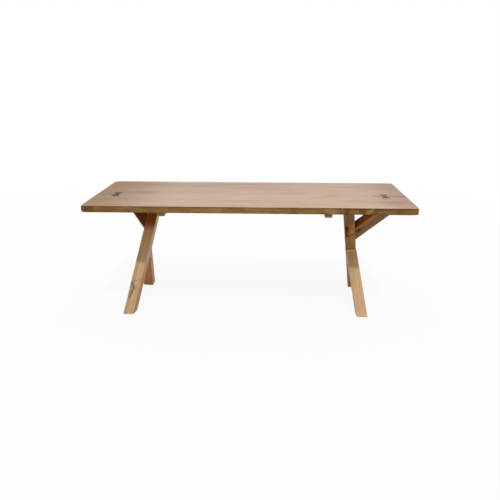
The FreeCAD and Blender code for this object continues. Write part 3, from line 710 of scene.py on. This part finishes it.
# knots: across, along, size, stretch, strength
# marks and cracks: from (across, along), to (across, along), half width, strength, and a mark's tone
# faces: tones on one face, mostly painted shade and light: axis, side, start and full along the timber, way,
# strength, tone
legLook = {
    "main_leg_right": {
        "seed": 1.4, "pith": (0.055, -0.075, 0.0), "front": -1.0, "figure": 1.0,
        "tones": paleOak, "rust": 0.4,
        "knots": ((-0.0190, 0.722, 0.0170, 1.9, 0.8), (-0.0270, 0.660, 0.0110, 1.4, 0.8)),
        "marks": (((-0.0275, 0.761), (-0.0118, 0.737), 0.0070, 0.75, (52, 30, 12)),
                  ((-0.0200, 0.745), (-0.0165, 0.705), 0.0120, 1.00, (70, 40, 12)),
                  ((-0.0165, 0.705), (-0.0285, 0.660), 0.0100, 1.00, (78, 45, 15)),
                  ((-0.0360, 0.653), (-0.0007, 0.646), 0.0085, 1.00, (48, 26, 7)),
                  ((-0.0007, 0.646), (0.0219, 0.660), 0.0060, 0.85, (58, 32, 12)),
                  ((0.0219, 0.660), (0.0380, 0.686), 0.0055, 0.70, (74, 43, 17)),
                  ((0.0000, 0.722), (0.0170, 0.680), 0.0120, 0.60, (172, 122, 72)),
                  ((-0.0134, 0.768), (0.0211, 0.733), 0.0060, 0.40, (168, 122, 74)),
                  # painted shade: a dark line down the right edge, where the leg meets the arm
                  ((0.0335, 0.850), (0.0335, 0.725), 0.0040, 0.50, (100, 62, 28)),
                  ((-0.0290, 0.640), (-0.0280, 0.505), 0.0070, 0.60, (88, 52, 22)),
                  ((0.0100, 0.623), (0.0185, 0.527), 0.0060, 0.40, (172, 124, 74)),
                  ((-0.0016, 0.614), (-0.0096, 0.531), 0.0045, 0.40, (104, 64, 28)),
                  # painted shadow: a dark line across the leg at the strut's top end
                  ((-0.036, 0.503), (0.036, 0.501), 0.0045, 0.65, (78, 46, 20))),
        # painted shade: front and visible side darkened all along, under the table
        "faces": ((1, -1, *whole, "MULTIPLY", 1.0, (199, 171, 127)),
                  (0, -1, *whole, "MULTIPLY", 1.0, (199, 171, 127)),
                  # painted shade: the front darker still near the top
                  (1, -1, 0.735, 0.800, "MULTIPLY", 1.0, (202, 190, 170))),
    },
    "strut_leg_right": {
        "seed": 3.3, "pith": (-0.03, -0.24, 0.0), "front": -1.0, "figure": 0.5,
        "tones": ((176, 136, 92), (204, 165, 122), (221, 184, 141)), "rust": 0.3,
        "marks": (((-0.012, 0.080), (-0.020, 0.010), 0.0030, 0.25, (120, 86, 56)),
                  ((-0.034, 0.4560), (0.014, 0.4585), 0.0075, 0.85, (232, 200, 146))),
    },
    "outer_arm_right": {
        "seed": 4.7, "pith": (0.05, -0.09, 0.0), "front": -1.0, "figure": 0.8,
        "tones": paleOak, "rust": 0.3,
        "knots": ((-0.0152, 0.864, 0.0080, 2.0, 1.0),),
        "marks": (((-0.030, 0.870), (-0.024, 1.060), 0.0060, 0.35, (172, 130, 80)),
                  ((-0.0165, 0.856), (-0.0140, 0.874), 0.0075, 1.00, (72, 42, 16))),
        # painted shade: the front darkened all along, under the table
        "faces": ((1, -1, *whole, "MULTIPLY", 1.0, (161, 131, 78)),
                  # painted shade with warm bounced light: the upper side dark orange-brown from the joint up
                  (0, -1, 0.60, 0.62, "MIX", 0.95, (158, 86, 20))),
    },
    "main_leg_left": {
        "seed": 5.6, "pith": (0.02, 0.14, 0.0), "front": 1.0, "figure": 0.7, "rub": 0.15,
        "tones": paleOak, "rust": 0.3,
        "marks": (((0.0284, 0.198), (0.0066, 0.161), 0.0120, 0.50, (112, 104, 92)),
                  ((0.0066, 0.161), (0.0177, 0.096), 0.0130, 0.40, (120, 110, 96)),
                  ((0.004, 0.186), (-0.008, 0.150), 0.0140, 0.25, (150, 116, 92))),
        "cracks": (((0.030, 0.2010), (0.000, 0.2120), 0.0034, 0.60),
                   ((0.000, 0.2120), (-0.043, 0.2300), 0.0028, 0.50),
                   ((0.0284, 0.198), (0.0100, 0.163), 0.0080, 0.70),
                   ((0.0100, 0.163), (0.0100, 0.129), 0.0072, 0.62),
                   ((0.0100, 0.129), (0.0177, 0.098), 0.0074, 0.60),
                   ((0.0177, 0.098), (0.0255, 0.075), 0.0055, 0.40),
                   ((0.0294, 0.192), (0.0280, 0.158), 0.0070, 0.65),
                   ((0.018, 0.109), (0.026, 0.124), 0.0062, 0.55),
                   ((0.0100, 0.163), (-0.009, 0.150), 0.0036, 0.35)),
        "crackTone": (82, 83, 80),
        # the first tone darkens the front towards the foot
        "faces": ((1, 1, 0.360, 0.050, "MULTIPLY", 1.0, (240, 240, 240)),
                  # painted light: a paler band in the middle of the front
                  (1, 1, 0.400, 0.520, "MIX", 0.3, (214, 176, 120)),
                  # painted shade: a deep red-brown front near the top, under the table
                  (1, 1, 0.570, 0.655, "MULTIPLY", 1.0, (174, 116, 40)),
                  # painted shade: the side darker towards the foot
                  (0, -1, 0.42, 0.22, "MULTIPLY", 1.0, (226, 192, 154))),
    },
    "strut_leg_left": {
        "seed": 7.8, "pith": (0.04, 0.10, 0.0), "front": 1.0, "figure": 0.8,
        "tones": paleOak, "rust": 0.4,
        # painted shade: warm orange-brown on the front and the visible side, all along
        "faces": ((1, 1, *whole, "MULTIPLY", 1.0, (221, 174, 92)),
                  (0, -1, *whole, "MULTIPLY", 1.0, (221, 174, 92))),
    },
    "outer_arm_left": {
        "seed": 9.1, "pith": (-0.05, 0.09, 0.0), "front": 1.0, "figure": 0.8,
        "tones": paleOak, "rust": 0.4, "rub": 0.12,
        # painted shade: the front darkened all along, deep under the table
        "faces": ((1, 1, *whole, "MULTIPLY", 1.0, (142, 98, 43)),),
    },
}


def beamTurn(run):  # turn a stick from upright to its line, first sideways and then back
    tilt = -math.atan2(run.y, run.z)
    lean = math.atan2(run.x * math.cos(tilt), run.z)
    return Matrix.Rotation(tilt, 4, "X") @ Matrix.Rotation(lean, 4, "Y")


def timber(name, node, turn, origin, cuts, halfTurn, width):
    s = legSizes
    halfX, halfY = width / 2, s["width"] / 2
    low, high = s["stock"]
    seed = legLook[node]["seed"]
    bm = bmesh.new()
    block(bm, (-halfX, -halfY, low), (halfX, halfY, high))
    rounded(bm, [e for e in bm.edges if runsAlong(e, 2)], s["easing"], s["easingSteps"])
    for axis in (0, 1):
        slices(bm, axis, s["slices"])
    slices(bm, 2, every(low, high, s["step"]))
    rateAlong, rateAcross = s["dipRates"]
    for v in bm.verts:
        x, y, z = v.co
        nearX, nearY = fade(halfX - abs(x), s["dipReach"]), fade(halfY - abs(y), s["dipReach"])
        corner = min(1.0, nearX * nearY * s["dentGain"])
        knock = ripple(z * s["dentRate"], math.copysign(4.0, x), math.copysign(9.0, y) + seed)
        bite = s["dent"] * max(0.0, knock - s["dentFrom"]) * corner ** s["dentEdge"]
        dipX = s["dip"] * hollow(z * rateAlong, y * rateAcross, seed)
        dipY = s["dip"] * hollow(z * rateAlong, x * rateAcross, seed + 20)
        v.co.x -= math.copysign(nearX * dipX + bite, x)
        v.co.y -= math.copysign(nearY * dipY + bite, y)
    place = Matrix.Translation(origin) @ turn
    bmesh.ops.transform(bm, matrix=place, verts=bm.verts[:])
    floorCut = (Vector((0, 0, 0)), Vector((0, 0, -1)))
    plateCut = (Vector((0, 0, s["plateFace"])), Vector((0, 0, 1)))
    for spot, way in (floorCut, plateCut) + cuts:
        cutAway(bm, spot, way)
    rounded(bm, [e for e in bm.edges if all(abs(v.co.z) < hair for v in e.verts)], s["rimEasing"], 2)
    stand = Matrix.Rotation(math.pi if halfTurn else 0.0, 4, "Z")
    stand = Matrix.Translation((-s["offset"], 0.0, 0.0)) @ stand
    bmesh.ops.transform(bm, matrix=stand, verts=bm.verts[:])
    place = stand @ place
    finish = oakTimber("oak" + name[0].upper() + name[1:], place, place.translation, legLook[node],
                       (halfX, halfY))
    return piece(name, bm, finish, node)


def trestle(side, halfTurn):
    s = legSizes
    foot, head = Vector((*s["mainFoot"], 0.0)), Vector((*s["mainTop"], s["plateFace"]))
    jointDepth = s["width"] / 2 - s["overlap"]
    mainTurn = beamTurn(head - foot)
    across, deep = mainTurn.col[0].to_3d(), mainTurn.col[1].to_3d()
    strutMeet = foot.lerp(head, s["strutJoint"] / s["plateFace"])
    strutFoot = Vector((*s["strutFoot"], 0.0))
    strutTurn = beamTurn(strutMeet - strutFoot) @ Matrix.Rotation(math.radians(s["strutTwist"]), 4, "Z")
    armMeet = foot.lerp(head, s["armJoint"] / s["plateFace"])
    armTop = Vector((s["armTopX"], head.y, s["plateFace"]))
    armRun = armTop - armMeet
    armFoot = armMeet - armRun * (armMeet.z / armRun.z)
    capital = side.capitalize()
    timber("mainLeg" + capital, "main_leg_" + side, mainTurn, foot, (), halfTurn, s["width"])
    timber("strutLeg" + capital, "strut_leg_" + side, strutTurn, strutFoot,
           ((strutMeet - deep * jointDepth, deep),), halfTurn, s["width"])
    timber("outerArm" + capital, "outer_arm_" + side, beamTurn(armRun), armFoot,
           ((armMeet + across * jointDepth, -across),), halfTurn, s["armWidth"])


for side in sides:
    trestle(side, side == "left")
print("trestles built")


# metal and hidden wood carried over from the frame

steelLook = {
    "blackPlate": {"dark": (30, 30, 31), "pale": (46, 46, 47), "metal": 0.2, "rough": (0.55, 0.42)},
    "zincScrew": {"dark": (120, 118, 112), "pale": (164, 162, 156), "metal": 0.9, "rough": (0.42, 0.30)},
    "cloudScale": (26.0, 26.0, 26.0), "cloudSpots": (0.30, 0.70), "speckScale": (700.0, 700.0, 700.0),
    "scratchScale": (20.0, 600.0, 600.0), "scratchSpan": (0.66, 0.74), "scratchShare": 0.4,
    "scratchTone": (150, 150, 148), "speckHeight": 0.6, "scratchHeight": 0.4,
    "bump": 0.15, "bumpReach": 0.0004,
}
dowelLook = {
    "lineScale": (300.0, 14.0, 300.0), "lineSpots": (0.30, 0.70), "tones": ((176, 140, 100), (214, 184, 146)),
    "rough": (0.62, 0.50), "bump": 0.2, "bumpReach": 0.0005,
}


def steelFinish(name):
    made, tree = freshMaterial(name)
    t, look = steelLook, steelLook[name]
    spot = objectSpot(tree)
    cloud = grainNoise(tree, spot, t["cloudScale"], (2.0, 7.0, 1.0), 4.0, 0.6)
    speck = grainNoise(tree, spot, t["speckScale"], (2.0, 3.0, 1.0), 2.0)
    scratch = grainNoise(tree, spot, t["scratchScale"], (5.0, 1.0, 2.0), 2.0)
    colour = ramp(tree, cloud, t["cloudSpots"], (look["dark"], look["pale"]))
    scraped = times(tree, soften(tree, scratch, *t["scratchSpan"]), t["scratchShare"])
    colour = tint(tree, colour, t["scratchTone"], scraped)
    height = calc(tree, "MULTIPLY_ADD", speck, t["speckHeight"], times(tree, scratch, t["scratchHeight"]))
    rough = spread(tree, cloud, *t["cloudSpots"], *look["rough"])
    closeMaterial(tree, colour, rough, height, t["bump"], t["bumpReach"], **{"Metallic": look["metal"]})
    return made


def dowelFinish(name):
    made, tree = freshMaterial(name)
    t = dowelLook
    line = grainNoise(tree, objectSpot(tree), t["lineScale"], (1.0, 4.0, 2.0), 4.0, 0.6)
    colour = ramp(tree, line, t["lineSpots"], t["tones"])
    rough = spread(tree, line, *t["lineSpots"], *t["rough"])
    closeMaterial(tree, colour, rough, line, t["bump"], t["bumpReach"])
    return made


def dress(node, finish):
    mesh = nodes[node].data
    mesh.materials.clear()
    mesh.materials.append(finish)


blackPlate, zincScrew = steelFinish("blackPlate"), steelFinish("zincScrew")
beechDowel = dowelFinish("beechDowel")
for side in sides:
    dress("mounting_plate_" + side, blackPlate)
    for screws in ("leg_screws_%s", "slab_screws_%s", "batten_%s_screws"):
        dress(screws % side, zincScrew)
    for dowels in ("strut_dowels_%s", "arm_dowels_%s"):
        dress(dowels % side, beechDowel)
dress("board_dowels", beechDowel)
print("carried nodes finished")


# stage, light and camera

stageLook = {
    "size": 60.0, "drop": 0.0008, "colour": (232, 231, 229),
    "whiteShare": 0.90, "fadeStart": 1.8, "fadeEnd": 6.0,     # the shadow ends near the table
}
lightLook = {
    "lowFill": 0.32, "highFill": 0.86, "fillStart": 0.12, "fillEnd": 0.45,    # dimmer near the horizon
    "key": 0.95, "keyAngle": 3.2, "keyRise": 53.0, "keyTurn": 8.0, "keyDistance": 3.0,
}
cameraLook = {
    "place": (0.13548, -4.06197, 1.54745), "yaw": -0.03446, "pitch": 0.2845, "roll": 0.00195,
    "focalPixels": 598.3786, "frame": 500.0, "sensor": 36.0, "clipEnd": 200.0,
}


def seenRay(tree):  # camera, mirror and glass rays
    path = wire(tree, "LightPath").outputs
    mirrored = larger(tree, path["Is Glossy Ray"], path["Is Transmission Ray"])
    return larger(tree, path["Is Camera Ray"], mirrored)


def studioFloor():
    s = stageLook
    bm = bmesh.new()
    bmesh.ops.create_grid(bm, x_segments=8, y_segments=8, size=s["size"] / 2)
    bmesh.ops.translate(bm, vec=(0, 0, -s["drop"]), verts=bm.verts[:])
    mesh = bpy.data.meshes.new("studioFloor")
    bm.to_mesh(mesh)
    bm.free()
    obj = bpy.data.objects.new("studioFloor", mesh)
    scene.collection.objects.link(obj)
    made, tree = freshMaterial("paleFloor")
    matte = wire(tree, "BsdfDiffuse", {"Color": paint(*s["colour"])})
    white = wire(tree, "Emission", {"Color": (1, 1, 1, 1), "Strength": 1.0})
    away = vec(tree, "LENGTH", objectSpot(tree))
    faded = soften(tree, away, s["fadeStart"], s["fadeEnd"])
    share = times(tree, seenRay(tree), spread(tree, faded, 0.0, 1.0, s["whiteShare"], 1.0))
    both = wire(tree, "MixShader", {0: share, 1: matte.outputs[0], 2: white.outputs[0]})
    wire(tree, "OutputMaterial", {"Surface": both.outputs[0]})
    mesh.materials.append(made)


def studioLight():
    s = lightLook
    world = bpy.data.worlds.new("studio")
    world.use_nodes = True
    tree = world.node_tree
    tree.nodes.clear()
    upward = wire(tree, "SeparateXYZ", {0: wire(tree, "TexCoord").outputs["Generated"]}).outputs[2]
    glow = soften(tree, upward, s["fillStart"], s["fillEnd"])
    glow = spread(tree, glow, 0.0, 1.0, s["lowFill"], s["highFill"])
    strength = wire(tree, "MapRange", {"Value": seenRay(tree), "To Min": glow, "To Max": 1.0}).outputs[0]
    sky = wire(tree, "Background", {"Color": (1, 1, 1, 1), "Strength": strength})
    wire(tree, "OutputWorld", {"Surface": sky.outputs[0]})
    scene.world = world
    lamp = bpy.data.lights.new("keyLamp", "SUN")
    lamp.energy = s["key"]
    lamp.angle = math.radians(s["keyAngle"])
    key = bpy.data.objects.new("keyLamp", lamp)
    rise, turn = math.radians(s["keyRise"]), math.radians(s["keyTurn"])
    towards = Vector((math.sin(turn) / math.tan(rise), -1 / math.tan(rise), 1.0))
    key.rotation_euler = towards.to_track_quat("Z", "Y").to_euler()
    key.location = towards * s["keyDistance"]
    scene.collection.objects.link(key)


def photoCamera():
    c = cameraLook
    lens = bpy.data.cameras.new("photoCamera")
    lens.sensor_width = c["sensor"]
    lens.lens = c["focalPixels"] * c["sensor"] / c["frame"]
    lens.clip_end = c["clipEnd"]
    cosP, sinP = math.cos(c["pitch"]), math.sin(c["pitch"])
    ahead = Vector((math.sin(c["yaw"]) * cosP, math.cos(c["yaw"]) * cosP, -sinP))
    level = Vector((math.cos(c["yaw"]), -math.sin(c["yaw"]), 0.0))
    upright = level.cross(ahead)
    cosR, sinR = math.cos(c["roll"]), math.sin(c["roll"])
    right, up = cosR * level + sinR * upright, cosR * upright - sinR * level
    turn = Matrix((right, up, -ahead)).transposed().to_4x4()
    camera = bpy.data.objects.new("photoCamera", lens)
    camera.matrix_world = Matrix.Translation(c["place"]) @ turn
    scene.collection.objects.link(camera)
    scene.camera = camera


studioFloor()
studioLight()
photoCamera()
scene.view_settings.view_transform = "Standard"
print("stage, light and camera set")
